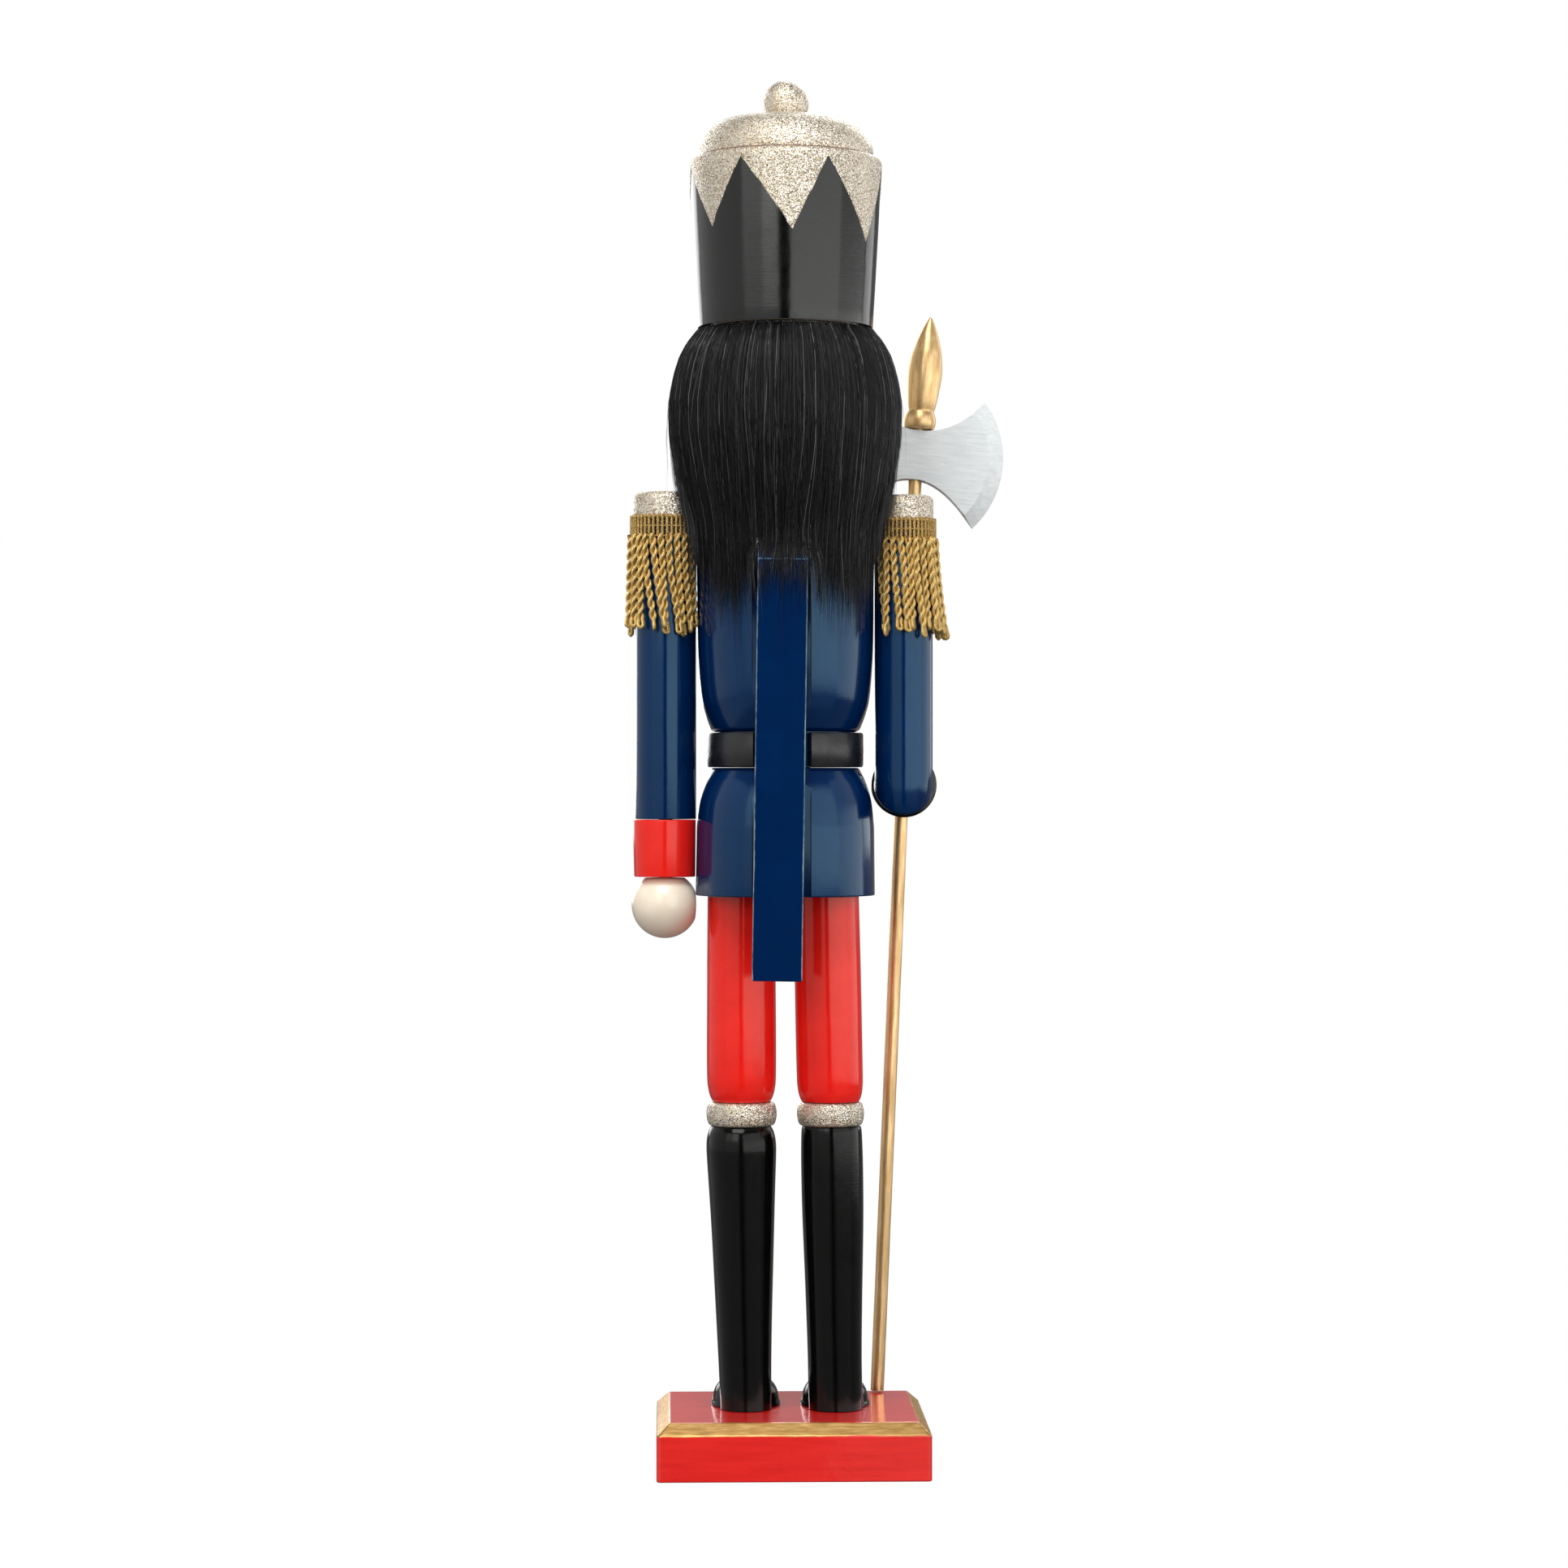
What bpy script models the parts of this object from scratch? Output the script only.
"""A wooden nutcracker soldier with a halberd, modelled as it comes apart on a bench.

Metres, +Z up. The figure faces -Y, its own left side is +X, and the origin is on the
floor under the axis of the body. Three things move against each other: the figure,
the lever with its jaw and beard, and the halberd, which lifts up out of the fist.
"""

from math import atan2, cos, degrees, pi, radians, sin, sqrt

import bmesh
import bpy
from mathutils import Matrix, Vector

GAP = 0.0003  # air between pieces that touch
DOWEL_PLAY = 0.0003  # air round a dowel in its bore
ROUND = 40  # sides of the body, head and hat
SLIM = 24  # sides of the arms, legs and hands
PEG = 12  # sides of dowels, pins and buttons

# Heights of the joints between the stacked pieces.
BASE_TOP = 0.025
BOOT_TOP = 0.1495
KNEE_TOP = 0.1604
HEM = 0.2513
WAIST = 0.3074
BELT_TOP = 0.3228
SHOULDER = 0.424
HEAD_TOP = 0.5008
HAT_TOP = 0.5751
DOME_TOP = 0.5947

# Radii of the turned pieces, and how far the legs and arms stand from the axis.
SKIRT_RADIUS = 0.0395
WAIST_RADIUS = 0.0324
NECK_RADIUS = 0.0306  # the foot of the chest, inside the belt
BELT_RADIUS = 0.0344
CHEST_RADIUS = 0.039
HEAD_RADIUS = 0.034
HAT_RADIUS = 0.0422
LEG_X = {"left": 0.0193, "right": -0.0199}
ARM_X = {"left": 0.0527, "right": -0.0521}
ARM_RADIUS = {"left": 0.0134, "right": 0.0128}
LEFT_HAND_RADIUS = 0.0147
RIGHT_HAND_RADIUS = 0.0143

# The slot that the lever swings in, and the pin that it swings on.
SLOT_WIDTH = 0.026
SLOT_TOP = 0.447
SLOT_BACK = 0.034
BACK_SLOT_X = 0.0016
BACK_SLOT_WIDTH = 0.0256
LEVER_X = 0.00075
LEVER_WIDTH = 0.0217
LEVER_LEAN = radians(0.82)  # its foot hangs a little to the figure's left
PIVOT_Y = 0.004
PIVOT_Z = 0.416
PIN_RADIUS = 0.0015

# The halberd's shaft is a straight dowel from the base up through the right fist.
SHAFT_FOOT = Vector((-0.0415, -0.049, 0.0257))
SHAFT_TOP = Vector((-0.0592, -0.061, 0.450))
SHAFT_RADIUS = 0.003
SHAFT_AIM = (SHAFT_TOP - SHAFT_FOOT).normalized()
# The axe and the spear lean out a little more than the shaft.
HEAD_AIM = Vector((-0.108, -0.0281, 0.995)).normalized()
ELBOW_Z = 0.2996

SIDES = (("left", 1), ("right", -1))


def clear_scene():
    for leftover in list(bpy.data.objects):
        bpy.data.objects.remove(leftover, do_unlink=True)


def finish(name, colour, roughness, metallic=0.0):
    """A material with one colour, for a painted, turned or cast piece."""
    material = bpy.data.materials.new(name)
    material.use_nodes = True
    shader = material.node_tree.nodes["Principled BSDF"]
    shader.inputs["Base Color"].default_value = (*colour, 1.0)
    shader.inputs["Roughness"].default_value = roughness
    shader.inputs["Metallic"].default_value = metallic
    material.diffuse_color = (*colour, 1.0)
    return material


def add_object(name, bm, material=None):
    """Closes the mesh, turns its faces outwards and puts it in the scene. With no material it is a cutter."""
    bmesh.ops.remove_doubles(bm, verts=bm.verts, dist=1e-6)
    loose = [edge for edge in bm.edges if not edge.link_faces]
    bmesh.ops.delete(bm, geom=loose, context="EDGES")
    bmesh.ops.recalc_face_normals(bm, faces=bm.faces)
    mesh = bpy.data.meshes.new(name)
    bm.to_mesh(mesh)
    bm.free()
    mesh.shade_smooth()
    mesh.set_sharp_from_angle(angle=radians(35))
    added = bpy.data.objects.new(name, mesh)
    bpy.context.collection.objects.link(added)
    if material:
        mesh.materials.append(material)
    else:
        added.hide_render = True
        added.display_type = "WIRE"
    return added


def lofted(name, rings, material=None):
    """A closed solid whose skin runs through the rings in turn, with a flat face over each end."""
    bm = bmesh.new()
    loops = [[bm.verts.new(point) for point in ring] for ring in rings]
    bm.faces.new(loops[0])
    bm.faces.new(loops[-1])
    for lower, upper in zip(loops, loops[1:]):
        for k in range(len(lower)):
            bm.faces.new((lower[k - 1], lower[k], upper[k], upper[k - 1]))
    return add_object(name, bm, material)


def turned(name, profile, sides, material=None, at=(0, 0, 0), aim=(0, 0, 1), bore=0.0):
    """Spins a profile, given as (radius, height) up its outer side, round a line through at along aim."""
    bm = bmesh.new()
    outline = [(bore, profile[0][1]), *profile, (bore, profile[-1][1])]
    corners = [bm.verts.new((radius, 0, height)) for radius, height in outline]
    edges = [bm.edges.new(ends) for ends in zip(corners, corners[1:])]
    if bore:
        edges.append(bm.edges.new((corners[-1], corners[0])))
    bmesh.ops.spin(
        bm, geom=corners + edges, axis=(0, 0, 1), cent=(0, 0, 0), angle=2 * pi, steps=sides, use_merge=True
    )
    made = add_object(name, bm, material)
    made.location = at
    made.rotation_euler = Vector(aim).to_track_quat("Z", "Y").to_euler()
    return made


def part_turned(name, section, start, end, steps, material, taper=lambda share: 1.0):
    """Sweeps a closed section of (radius, height) about the body's axis from one angle to another."""
    middle = sum((Vector(point) for point in section), Vector((0, 0))) / len(section)
    rings = []
    for step in range(steps + 1):
        share = step / steps
        angle = start + (end - start) * share
        ring = [middle + (Vector(point) - middle) * taper(share) for point in section]
        rings.append([(radius * cos(angle), radius * sin(angle), height) for radius, height in ring])
    return lofted(name, rings, material)


def extruded(name, outline, width, material=None, x=0.0):
    """A plate with the given (y, z) outline, centred on x."""
    rings = [[(side * width / 2, y, z) for y, z in outline] for side in (-1, 1)]
    made = lofted(name, rings, material)
    made.location.x = x
    return made


def rod(name, start, end, radius, material=None, sides=PEG):
    """A round rod between two points: a dowel, or the drill for a dowel's bore where it has no material."""
    start = Vector(start)
    run = Vector(end) - start
    return turned(name, [(radius, 0), (radius, run.length)], sides, material, start, run.normalized())


def cut(piece, *cutters):
    for cutter in cutters:
        boolean = piece.modifiers.new(cutter.name, "BOOLEAN")
        boolean.object = cutter
        boolean.operation = "DIFFERENCE"
        boolean.solver = "EXACT"


def doweled(name, start, end, radius, material, *pieces):
    """Puts in a dowel and drills its bore, a little wider and longer, in each piece that it joins."""
    start = Vector(start)
    end = Vector(end)
    slack = (end - start).normalized() * GAP
    drill = rod(name + "_drill", start - slack, end + slack, radius + DOWEL_PLAY)
    for piece in pieces:
        cut(piece, drill)
    return rod(name, start, end, radius, material)


def arc(centre, radius, start, end, steps):
    """Points along an arc, as (a, b) pairs, with the angles in degrees."""
    angles = [radians(start + (end - start) * step / steps) for step in range(steps + 1)]
    return [(centre[0] + radius * cos(angle), centre[1] + radius * sin(angle)) for angle in angles]


def ball(radius, low, high, steps):
    """The profile of a ball about the origin, cut flat at a low and a high height."""
    heights = [low + (high - low) * (1 - cos(pi * step / steps)) / 2 for step in range(steps + 1)]
    return [(sqrt(max(radius**2 - height**2, 0)), height) for height in heights]


def make_slot_cutters():
    """Two channels that meet: the lever's, down the back and sloping in over the chest, and the jaw's."""
    back = [
        (-0.001, SLOT_TOP),
        (0.06, SLOT_TOP),
        (0.06, 0.2),
        (SLOT_BACK, 0.2),
        (SLOT_BACK, 0.383),
        (0.008, 0.404),
        (-0.001, 0.404),
    ]
    mouth = [(-0.06, SLOT_TOP), (0.0, SLOT_TOP), (0.0, 0.404), (-0.06, 0.404)]
    return (
        extruded("back_slot_cutter", back, BACK_SLOT_WIDTH, x=BACK_SLOT_X),
        extruded("mouth_slot_cutter", mouth, SLOT_WIDTH),
    )


def rounded_rectangle(half_x, half_y, corner, height):
    ring = []
    for side, end, turn in ((1, 1, 0), (-1, 1, 90), (-1, -1, 180), (1, -1, 270)):
        centre = (side * (half_x - corner), end * (half_y - corner))
        ring += [(x, y, height) for x, y in arc(centre, corner, turn, turn + 90, 3)]
    return ring


def make_base(paint):
    """A painted block with a wide chamfer round its top, a little askew under the figure."""
    half_x = 0.0594
    half_y = 0.051
    chamfer = 0.0055
    fall = 0.005
    rings = [
        rounded_rectangle(half_x, half_y, 0.002, 0.0),
        rounded_rectangle(half_x, half_y, 0.002, BASE_TOP - fall),
        rounded_rectangle(half_x - chamfer, half_y - chamfer, 0.001, BASE_TOP),
    ]
    base = lofted("base_block", rings, paint)
    base.location = (-0.0025, -0.007, 0)
    base.rotation_euler.z = radians(1.6)
    return base


def leaning(name, profile, x, lean, material):
    """A turned piece of a leg whose axis stands at x where it starts, and moves by lean for each metre up."""
    rings = []
    for radius, height in profile:
        centre = x + lean * (height - profile[0][1])
        rings.append([(centre + a, b, height) for a, b in arc((0, 0), radius, 0, 360 - 360 / SLIM, SLIM - 1)])
    return lofted(name, rings, material)


def make_boots(paint):
    """Turned boot legs, narrow at the ankle. The left one is fuller, with a rounded top."""
    left = [
        (0.0113, BASE_TOP + GAP),
        (0.0115, 0.038),
        (0.0119, 0.052),
        (0.0124, 0.066),
        (0.0129, 0.081),
        (0.0134, 0.095),
        (0.0140, 0.109),
        (0.0146, 0.123),
        (0.0152, 0.136),
        (0.0153, 0.141),
        (0.0150, 0.1445),
        (0.0143, 0.1473),
        (0.0132, BOOT_TOP),
    ]
    right = [
        (0.0118, BASE_TOP + GAP),
        (0.0119, 0.038),
        (0.0120, 0.052),
        (0.0124, 0.066),
        (0.0127, 0.081),
        (0.0131, 0.095),
        (0.0134, 0.109),
        (0.0136, 0.125),
        (0.0136, 0.136),
        (0.0133, 0.1455),
        (0.0129, BOOT_TOP),
    ]
    return {
        "left": leaning("boot_left", left, 0.0175, 0.0162, paint),
        "right": leaning("boot_right", right, -0.0221, 0.0138, paint),
    }


def make_shoe(side, x, leather_paint):
    """The foot of a boot: a low dome that runs forward, hollowed at the back to sit round the ankle."""
    half_width = 0.0153
    widest = -0.013
    heel = 0.016
    toe = 0.032
    height = 0.012
    rings = []
    for level in (0.0, 0.35, 0.62, 0.82, 0.95, 1.0):
        spread = (1 - level**2.6) ** (1 / 2.6) * 0.82 + 0.18
        ring = []
        for step in range(SLIM):
            angle = 2 * pi * step / SLIM
            reach = heel if sin(angle) > 0 else toe
            y = widest + reach * spread * sin(angle)
            ring.append((x + half_width * spread * cos(angle), y, BASE_TOP + GAP + height * level))
        rings.append(ring)
    shoe = lofted(f"shoe_{side}", rings, leather_paint)
    ankle_cutter = rod(f"ankle_{side}_cutter", (x, 0, 0.02), (x, 0, 0.05), 0.0124, sides=SLIM)
    cut(shoe, ankle_cutter)
    return shoe


def make_knee_ring(side, x, radius, glitter):
    """A fat glittering ring, as full as a cushion between the boot and the trouser leg."""
    low = BOOT_TOP + GAP
    inset_and_height = ((0.0024, 0.0), (0.0011, 0.0008), (0.0003, 0.0026), (0.0, 0.0053))
    lower = [(radius - inset, low + height) for inset, height in inset_and_height]
    upper = [(radius - inset, KNEE_TOP - height) for inset, height in inset_and_height[-2::-1]]
    return turned(f"knee_ring_{side}", lower + upper, SLIM, glitter, at=(x, 0, 0))


def make_trousers(paint):
    """Plain turned trouser legs, rounded in at the foot. The right one leans in towards the hem."""
    low = KNEE_TOP + GAP
    left = [(0.0128, low), (0.0139, low + 0.0022), (0.0147, low + 0.0055), (0.0152, low + 0.012)]
    left.append((0.0149, HEM - 2 * GAP))
    right = [(0.0128, low), (0.0137, low + 0.0022), (0.0143, low + 0.0055), (0.0146, low + 0.012)]
    right.append((0.0145, HEM - 2 * GAP))
    return {
        "left": leaning("trouser_left", left, 0.0193, 0.0, paint),
        "right": leaning("trouser_right", right, -0.0199, 0.0215, paint),
    }


def make_legs(base, skirt, black, red, glitter, bare_wood):
    """Each leg is a boot, a knee ring and a trouser leg, threaded on a dowel from base to skirt."""
    boots = make_boots(black)
    trousers = make_trousers(red)
    make_shoe("left", 0.0176, black)
    make_shoe("right", -0.0220, black)
    rings = {
        "left": make_knee_ring("left", 0.0193, 0.0154, glitter),
        "right": make_knee_ring("right", -0.0199, 0.0147, glitter),
    }
    for side, _ in SIDES:
        x = LEG_X[side]
        low = BASE_TOP - 0.013
        high = HEM + 0.0107
        pieces = (base, boots[side], rings[side], trousers[side], skirt)
        doweled(f"leg_dowel_{side}", (x, 0, low), (x, 0, high), 0.004, bare_wood, *pieces)


def make_skirt(paint, slots):
    """The flared tail of the coat, below the belt."""
    profile = [
        (SKIRT_RADIUS, HEM),
        (SKIRT_RADIUS - 0.0004, 0.2827),
        (0.0380, 0.2917),
        (0.0373, 0.2953),
        (0.0363, 0.2989),
        (0.0349, 0.3024),
        (0.0331, 0.3060),
        (WAIST_RADIUS, WAIST),
    ]
    skirt = turned("coat_skirt", profile, ROUND, paint)
    cut(skirt, slots[0])
    return skirt


def make_torso(paint, slots):
    """The chest, with a narrow neck at its foot that the belt is wrapped round."""
    shoulder_round = 0.008
    profile = [
        (NECK_RADIUS, WAIST + GAP),
        (NECK_RADIUS, BELT_TOP + GAP),
        (0.0323, 0.3239),
        (0.0334, 0.3257),
        (0.0354, 0.3311),
        (0.0363, 0.3346),
        (0.0371, 0.3382),
        (0.0374, 0.3425),
        (0.0383, 0.3525),
        (0.0388, 0.3669),
        (CHEST_RADIUS, 0.385),
    ]
    profile += arc((CHEST_RADIUS - shoulder_round, 0.4155), shoulder_round, 0, 75, 4)
    profile.append((0.031, SHOULDER))
    torso = turned("torso", profile, ROUND, paint)
    cut(torso, *slots)
    return torso


def make_belt(leather, brass):
    """A strap wrapped round the waist, open at the slot, with an open buckle over its front."""
    inner = NECK_RADIUS + GAP
    low = WAIST + GAP
    section = [(inner, low), (BELT_RADIUS, low), (BELT_RADIUS, BELT_TOP), (inner, BELT_TOP)]
    start = pi / 2 + radians(19.3)
    end = pi / 2 - radians(24.2) + 2 * pi
    part_turned("belt", section, start, end, ROUND, leather)
    buckle_low = low - 0.0015
    buckle_high = BELT_TOP + 0.0015
    face = BELT_RADIUS + GAP
    section = [
        (face, buckle_low),
        (face + 0.0015, buckle_low),
        (face + 0.0015, buckle_high),
        (face, buckle_high),
    ]
    reach = radians(19)
    buckle = part_turned("belt_buckle", section, -pi / 2 - reach, -pi / 2 + reach, 8, brass)
    bar = 0.0033  # how wide the buckle's frame is
    sill = buckle_low + bar
    lintel = buckle_high - bar
    window = [(-0.03, sill), (-0.05, sill), (-0.05, lintel), (-0.03, lintel)]
    window_cutter = extruded("buckle_window_cutter", window, 0.016)
    cut(buckle, window_cutter)


def make_coat_buttons(brass):
    """Two rows of domed buttons down the chest."""
    heights_and_radii = ((0.340, 0.0375), (0.360, 0.0388), (0.380, 0.0392))
    dome = [(0.0032, 0), (0.0031, 0.0006), (0.0024, 0.0015), (0.0012, 0.002), (0.0, 0.0021)]
    across = radians(17)
    for row, (height, chest) in enumerate(heights_and_radii, start=1):
        for side, sign in SIDES:
            angle = -pi / 2 + sign * across
            outwards = Vector((cos(angle), sin(angle), 0))
            seat = outwards * (chest + GAP)
            seat.z = height
            turned(f"coat_button_{side}_{row}", dome, PEG, brass, seat, outwards)


def make_head(skin, slots):
    profile = [
        (0.0305, SHOULDER + GAP),
        (0.0325, 0.4275),
        (HEAD_RADIUS - 0.0002, 0.434),
        (HEAD_RADIUS, 0.445),
        (HEAD_RADIUS, 0.492),
        (HEAD_RADIUS - 0.001, HEAD_TOP),
    ]
    head = turned("head", profile, ROUND, skin)
    cut(head, *slots)
    return head


def make_nose(skin):
    """A short blunt peg glued to the middle of the face."""
    profile = [(0.0042, 0), (0.0044, 0.003), (0.0042, 0.007), (0.003, 0.0095), (0.0, 0.0105)]
    at = (0, -HEAD_RADIUS - GAP, 0.4635)
    turned("nose", profile, PEG, skin, at, (0, -1, 0))


def make_moustache(hair):
    inner = HEAD_RADIUS + GAP
    outer = inner + 0.0035
    low = SLOT_TOP + 0.0015
    high = low + 0.0075
    section = [(inner, low), (outer, low + 0.001), (outer, high - 0.002), (inner, high)]
    reach = radians(36)
    part_turned(
        "moustache",
        section,
        -pi / 2 - reach,
        -pi / 2 + reach,
        12,
        hair,
        lambda share: 0.3 + 0.7 * sin(pi * share),
    )


def make_hair(hair):
    """The wig round the back and sides of the head, as one soft mass."""
    inner = HEAD_RADIUS + 0.0004
    section = [
        (inner, 0.430),
        (0.0470, 0.430),
        (0.0492, 0.440),
        (0.0505, 0.4527),
        (0.0507, 0.467),
        (0.0498, 0.474),
        (0.0482, 0.481),
        (0.0460, 0.4885),
        (0.0384, HEAD_TOP - 0.0001),
        (inner, HEAD_TOP - 0.0001),
    ]
    reach = radians(115)
    part_turned("hair", section, pi / 2 - reach, pi / 2 + reach, 28, hair)


def make_hat(black, glitter, bare_wood, head):
    """A tall flared hat, its cushion of a crown, and a ball on top."""
    low = HEAD_TOP + GAP
    corner = 0.002
    flare = [(0.0386, low), (0.0397, 0.520), (0.0410, 0.545), (HAT_RADIUS, 0.571)]
    flare += arc((HAT_RADIUS - corner, HAT_TOP - corner), corner, 20, 90, 3)
    hat = turned("hat_body", flare, ROUND, black)
    seam = HAT_TOP + GAP
    crown = [
        (0.0386, seam),
        (0.0386, 0.5780),
        (0.0374, 0.5832),
        (0.0341, 0.5882),
        (0.0294, 0.5913),
        (0.0205, 0.5936),
        (0.0100, DOME_TOP),
    ]
    turned("hat_crown", crown, ROUND, glitter)
    radius = 0.01025
    middle = 0.5999
    profile = ball(radius, DOME_TOP + GAP - middle, radius, 9)
    turned("hat_ball", profile, SLIM, glitter, at=(0, 0, middle))
    doweled("hat_dowel", (0, 0, 0.485), (0, 0, 0.520), 0.005, bare_wood, head, hat)


def make_lever_and_jaw(paint, jaw_paint, fur, steel, torso):
    """The lever down the back, bent over its pin, with the jaw glued to its front end and a beard on it."""
    outer = 0.045
    inner = 0.035
    foot = 0.2155
    bend = 0.397
    front = -0.018
    outline = [
        (inner, foot),
        (outer, foot),
        (outer, bend),
        (0.020, 0.428),
        (front, 0.440),
        (front, 0.424),
        (-0.002, 0.420),
        (0.025, 0.396),
        (inner, 0.386),
    ]
    hinge = Vector((0, PIVOT_Y, PIVOT_Z))
    lever = extruded("lever", outline, LEVER_WIDTH, paint, x=LEVER_X)
    about_pin = Matrix.Translation(hinge)
    lever.data.transform(about_pin @ Matrix.Rotation(-LEVER_LEAN, 4, "Y") @ about_pin.inverted())
    pin_half = Vector((0.036, 0, 0))
    drill_half = Vector((0.045, 0, 0))
    drill = rod("pivot_drill", hinge - drill_half, hinge + drill_half, PIN_RADIUS + DOWEL_PLAY)
    cut(lever, drill)
    cut(torso, drill)
    rod("pivot_pin", hinge - pin_half, hinge + pin_half, PIN_RADIUS, steel)
    lip = -0.036
    jaw_low = SHOULDER + GAP
    jaw_high = SLOT_TOP - 0.001
    chin = [
        (front - GAP, jaw_low),
        (front - GAP, jaw_high),
        (lip, jaw_high),
        (lip, jaw_low + 0.003),
        (lip + 0.003, jaw_low),
    ]
    jaw = extruded("jaw", chin, SLOT_WIDTH - 2 * GAP, jaw_paint)
    tuft = [
        (lip - GAP, jaw_low + 0.0045),
        (lip - 0.0085, jaw_low + 0.001),
        (lip - 0.0095, jaw_low + 0.006),
        (lip - 0.005, jaw_low + 0.012),
        (lip - GAP, jaw_low + 0.013),
    ]
    beard = extruded("beard", tuft, 0.024, fur)
    for piece in (lever, jaw, beard):
        move_origin(piece, hinge)


def move_origin(piece, spot):
    """Puts a piece's origin at a point in the world without moving its shape."""
    offset = piece.location - spot
    for vertex in piece.data.vertices:
        vertex.co += offset
    piece.location = spot


def make_left_arm(coat, cuff_paint, skin, bare_wood, hip_relief):
    """A straight arm with a turned cuff and a ball for the hand."""
    x = ARM_X["left"]
    radius = ARM_RADIUS["left"]
    cuff_top = 0.2846
    cuff_low = 0.2595
    arm = turned("arm_left", [(radius, cuff_top + GAP), (radius, 0.4166)], SLIM, coat, at=(x, 0, 0))
    hand_x = x + 0.0004
    cuff = turned("cuff_left", [(0.0135, cuff_low), (0.0142, cuff_top)], SLIM, cuff_paint, at=(hand_x, 0, 0))
    middle = 0.2471
    ball_profile = ball(LEFT_HAND_RADIUS, -LEFT_HAND_RADIUS, cuff_low - GAP - middle, 9)
    palm = turned("hand_left", ball_profile, SLIM, skin, at=(hand_x, 0, middle))
    cut(cuff, hip_relief)
    cut(palm, hip_relief)
    doweled("wrist_dowel_left", (x, 0, 0.245), (x, 0, 0.300), 0.003, bare_wood, arm, cuff, palm)
    return arm


def make_right_arm(coat, cuff_paint, skin, bare_wood, shaft_drill):
    """An arm mitred at the elbow, so that the forearm points forward to hold the halberd upright."""
    elbow = Vector((ARM_X["right"], 0, ELBOW_Z))
    radius = ARM_RADIUS["right"]
    wrist_y = -0.0193
    cuff_end = -0.0443
    grip = SHAFT_FOOT + SHAFT_AIM * ((ELBOW_Z - SHAFT_FOOT.z) / SHAFT_AIM.z)
    forward = (grip - elbow).normalized()
    circle = arc((0, 0), radius, 0, 360 - 360 / SLIM, SLIM - 1)
    seam = GAP / 2
    bottom = [(elbow.x + a, b, ELBOW_Z - b + seam) for a, b in circle]
    top = [(elbow.x + a, b, 0.4152) for a, b in circle]
    upper_arm = lofted("upper_arm_right", [bottom, top], coat)
    bent = [(elbow.x + a, -b - seam, ELBOW_Z + b) for a, b in circle]
    wrist_x = elbow.x + forward.x / forward.y * wrist_y
    straight = [(wrist_x + a, wrist_y, ELBOW_Z + b) for a, b in circle]
    forearm = lofted("forearm_right", [bent, straight], coat)
    cuff_start = Vector((wrist_x - 0.0004, wrist_y - GAP, ELBOW_Z + 0.0002))
    reach = wrist_y - cuff_end - GAP
    cuff = turned("cuff_right", [(0.0146, 0.0006), (0.0134, reach)], SLIM, cuff_paint, cuff_start, forward)
    palm_back = -(grip.y - cuff_end) - GAP
    profile = ball(RIGHT_HAND_RADIUS, -palm_back, RIGHT_HAND_RADIUS, 9)
    palm = turned("hand_right", profile, SLIM, skin, grip, forward)
    cut(palm, shaft_drill)
    diagonal = Vector((0, 1, 1)).normalized() * 0.010
    doweled(
        "elbow_dowel_right", elbow - diagonal, elbow + diagonal, 0.003, bare_wood, upper_arm, forearm
    )
    inner_end = elbow + forward * 0.0125
    outer_end = grip - forward * 0.0075
    doweled("wrist_dowel_right", inner_end, outer_end, 0.0025, bare_wood, forearm, cuff, palm)
    return upper_arm


def make_epaulettes(glitter, bullion):
    """A glittering disc on each shoulder, with a fringe hung round its rim and open towards the chest."""
    opening = radians(32)
    for side, x, rim, drop in (("left", 0.0532, 0.0141, 0), ("right", -0.0522, 0.0130, 0.0014)):
        cap_low = 0.4169 - drop
        cap_top = 0.4287 - drop
        corner = 0.0027
        profile = [(rim, cap_low)] + arc((rim - corner, cap_top - corner), corner, 0, 90, 4)
        turned(f"epaulette_cap_{side}", profile, SLIM, glitter, at=(x, 0, 0))
        inner = rim + 0.0002
        outer = rim + 0.0018
        top = 0.4182 - drop
        low = 0.3676 - drop
        section = [(inner, low), (outer, low), (outer, top), (inner, top)]
        start = opening + (pi if side == "left" else 0)
        sweep = 2 * (pi - opening)
        fringe = part_turned(f"epaulette_fringe_{side}", section, start, start + sweep, SLIM, bullion)
        fringe.location.x = x


def bend(start, pull, end, share, steps):
    """Points on the first share of a curve that leaves start towards pull and comes in to end from there."""
    points = []
    for step in range(steps + 1):
        t = share * step / steps
        towards = Vector(start).lerp(Vector(pull), t)
        away = Vector(pull).lerp(Vector(end), t)
        points.append(tuple(towards.lerp(away, t)))
    return points


def axe_outline(edge_radius, share):
    """Both blades of the axe, as (outwards, up) from its middle, out to the given radius of cutting edge."""
    waist = 0.0113
    eye = 0.0024
    pull = (0.0175, 0.012)
    low_pull = (0.0150, -0.0125)
    tip_out = 0.0290
    top_tip = 0.0274
    low_tip = -0.0307
    centre = (-0.004, -0.0016)
    upper = bend((eye, waist), pull, (tip_out, top_tip), share, 6)
    lower = bend((eye, -waist), low_pull, (tip_out, low_tip), share, 6)
    top, bottom = [degrees(atan2(up - centre[1], out - centre[0])) for out, up in (upper[-1], lower[-1])]
    outer = upper[:-1] + arc(centre, edge_radius, top, bottom, 10) + lower[-2::-1]
    inner = [(-out, up) for out, up in reversed(outer)]
    return outer + inner


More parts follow.
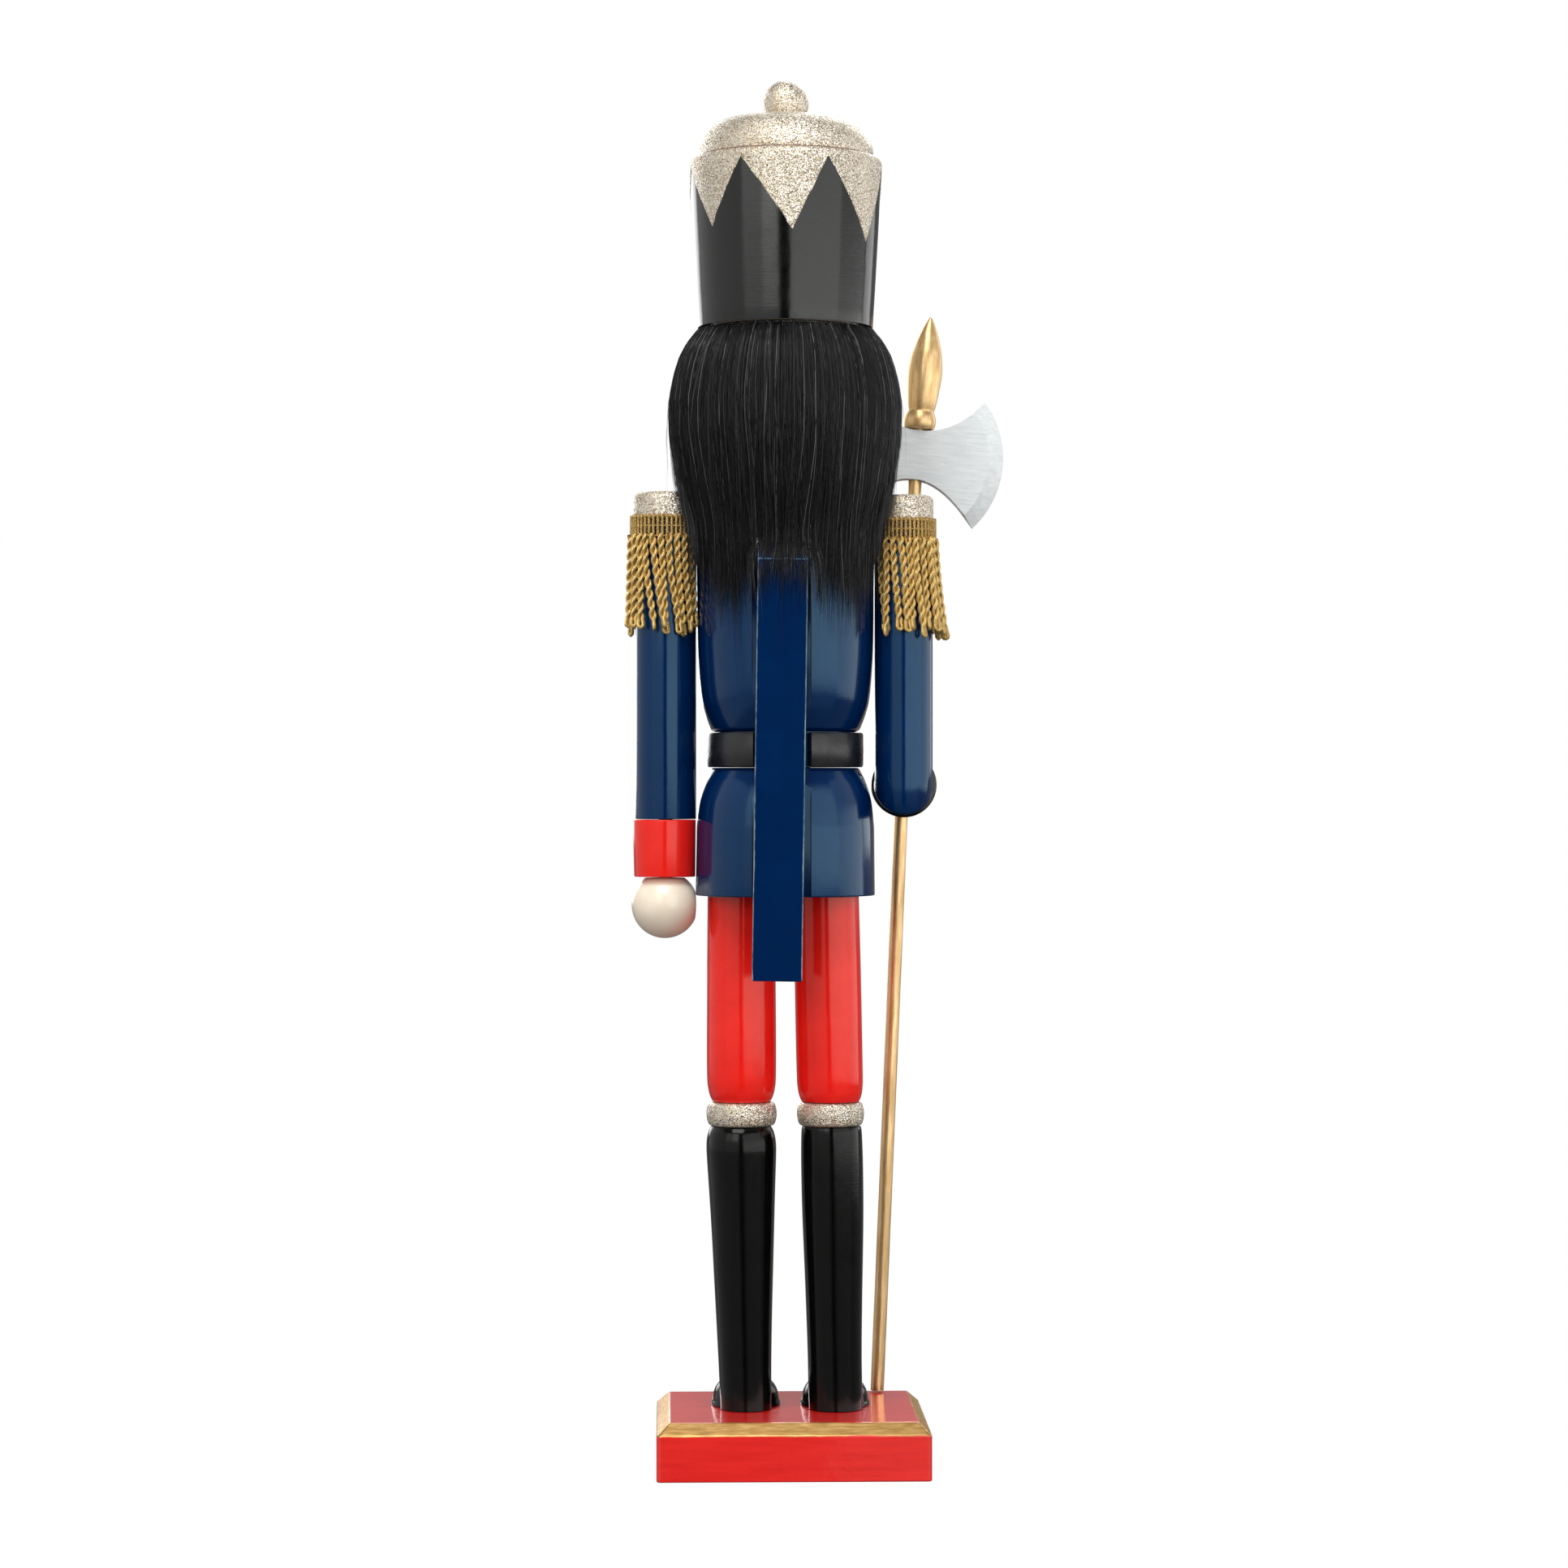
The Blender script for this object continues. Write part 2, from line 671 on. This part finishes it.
def make_halberd(gold, silver, shaft_drill):
    """A dowel shaft, a two-bladed axe with ground edges, and a turned spear point pegged into the axe."""
    turned(
        "halberd_shaft",
        [(SHAFT_RADIUS, 0), (SHAFT_RADIUS, (SHAFT_TOP - SHAFT_FOOT).length)],
        16,
        gold,
        SHAFT_FOOT,
        SHAFT_AIM,
    )
    half_thickness = 0.00425
    edge_half = 0.0009
    edge_radius = 0.0438
    bevel = 0.0064
    bevel_share = 0.82
    flat = axe_outline(edge_radius - bevel, bevel_share)
    full = axe_outline(edge_radius, 1.0)
    layers = ((-half_thickness, flat), (-edge_half, full), (edge_half, full), (half_thickness, flat))
    rings = [[(out, across, up) for out, up in outline] for across, outline in layers]
    axe = lofted("axe_head", rings, silver)
    outwards = Vector((-1, 0, 0))
    outwards = (outwards - HEAD_AIM * outwards.dot(HEAD_AIM)).normalized()
    turn = Matrix((outwards, HEAD_AIM.cross(outwards), HEAD_AIM)).transposed()
    axe.location = SHAFT_TOP
    axe.rotation_euler = turn.to_euler()
    peg = 0.0025
    peg_low = 0.003
    seat = 0.0113 + 2 * GAP
    spear = [
        (peg, peg_low),
        (peg, seat),
        (0.0052, seat),
        (0.0068, 0.0126),
        (0.0074, 0.0155),
        (0.0070, 0.0181),
        (0.0062, 0.0198),
        (0.0062, 0.0210),
        (0.0068, 0.0245),
        (0.0076, 0.0320),
        (0.0079, 0.0385),
        (0.0071, 0.0455),
        (0.0051, 0.0530),
        (0.0026, 0.0595),
        (0.0008, 0.0630),
        (0.0, 0.0638),
    ]
    turned("spear_point", spear, 16, gold, SHAFT_TOP, HEAD_AIM)
    peg_drill_low = SHAFT_TOP + HEAD_AIM * (peg_low - GAP)
    peg_drill = rod("peg_drill", peg_drill_low, SHAFT_TOP + HEAD_AIM * 0.014, peg + DOWEL_PLAY)
    cut(axe, peg_drill, shaft_drill)


def main():
    clear_scene()
    red = finish("red_gloss", (0.62, 0.02, 0.016), 0.22)
    navy = finish("navy_gloss", (0.003, 0.018, 0.07), 0.25)
    glitter = finish("champagne_glitter", (0.62, 0.50, 0.36), 0.35, 0.6)
    bullion = finish("gold_bullion", (0.58, 0.31, 0.03), 0.35, 0.7)
    brass = finish("brass_trim", (0.75, 0.48, 0.14), 0.25, 1.0)
    steel = finish("pin_steel", (0.55, 0.55, 0.56), 0.35, 1.0)
    silver = finish("silver_paint", (0.58, 0.62, 0.64), 0.4, 0.8)
    skin = finish("skin_paint", (0.80, 0.62, 0.45), 0.4)
    bare_wood = finish("bare_beech", (0.62, 0.42, 0.22), 0.6)
    leather = finish("belt_leather", (0.012, 0.012, 0.013), 0.4)
    fur = finish("black_fur", (0.008, 0.008, 0.009), 0.8)
    black = finish("black_gloss", (0.006, 0.006, 0.007), 0.15)
    gold = finish("gold_paint", (0.65, 0.42, 0.14), 0.35, 0.8)

    slots = make_slot_cutters()
    hip_relief = rod("hip_relief_cutter", (0, 0, 0.23), (0, 0, 0.31), SKIRT_RADIUS + GAP, sides=ROUND)
    drill_end = SHAFT_TOP + SHAFT_AIM * GAP
    shaft_drill = rod("shaft_drill", SHAFT_FOOT, drill_end, SHAFT_RADIUS + 0.0004, sides=16)

    base = make_base(red)
    skirt = make_skirt(navy, slots)
    make_legs(base, skirt, black, red, glitter, bare_wood)
    torso = make_torso(navy, slots)
    make_belt(leather, brass)
    make_coat_buttons(brass)
    doweled("body_dowel", (0, -0.008, 0.285), (0, -0.008, 0.350), 0.005, bare_wood, skirt, torso)
    head = make_head(skin, slots)
    for side, sign in SIDES:
        foot = Vector((sign * 0.022, -0.008, 0.405))
        doweled(f"neck_dowel_{side}", foot, foot + Vector((0, 0, 0.035)), 0.003, bare_wood, torso, head)
    make_nose(skin)
    make_moustache(fur)
    make_hair(fur)
    make_hat(black, glitter, bare_wood, head)
    make_lever_and_jaw(navy, skin, fur, steel, torso)
    arms = (
        make_left_arm(navy, red, skin, bare_wood, hip_relief),
        make_right_arm(navy, red, skin, bare_wood, shaft_drill),
    )
    for (side, sign), arm in zip(SIDES, arms):
        inner_end = Vector((sign * 0.030, 0, 0.400))
        outer_end = Vector((sign * 0.056, 0, 0.400))
        doweled(f"shoulder_dowel_{side}", inner_end, outer_end, 0.003, bare_wood, torso, arm)
    make_epaulettes(glitter, bullion)
    make_halberd(gold, silver, shaft_drill)


main()
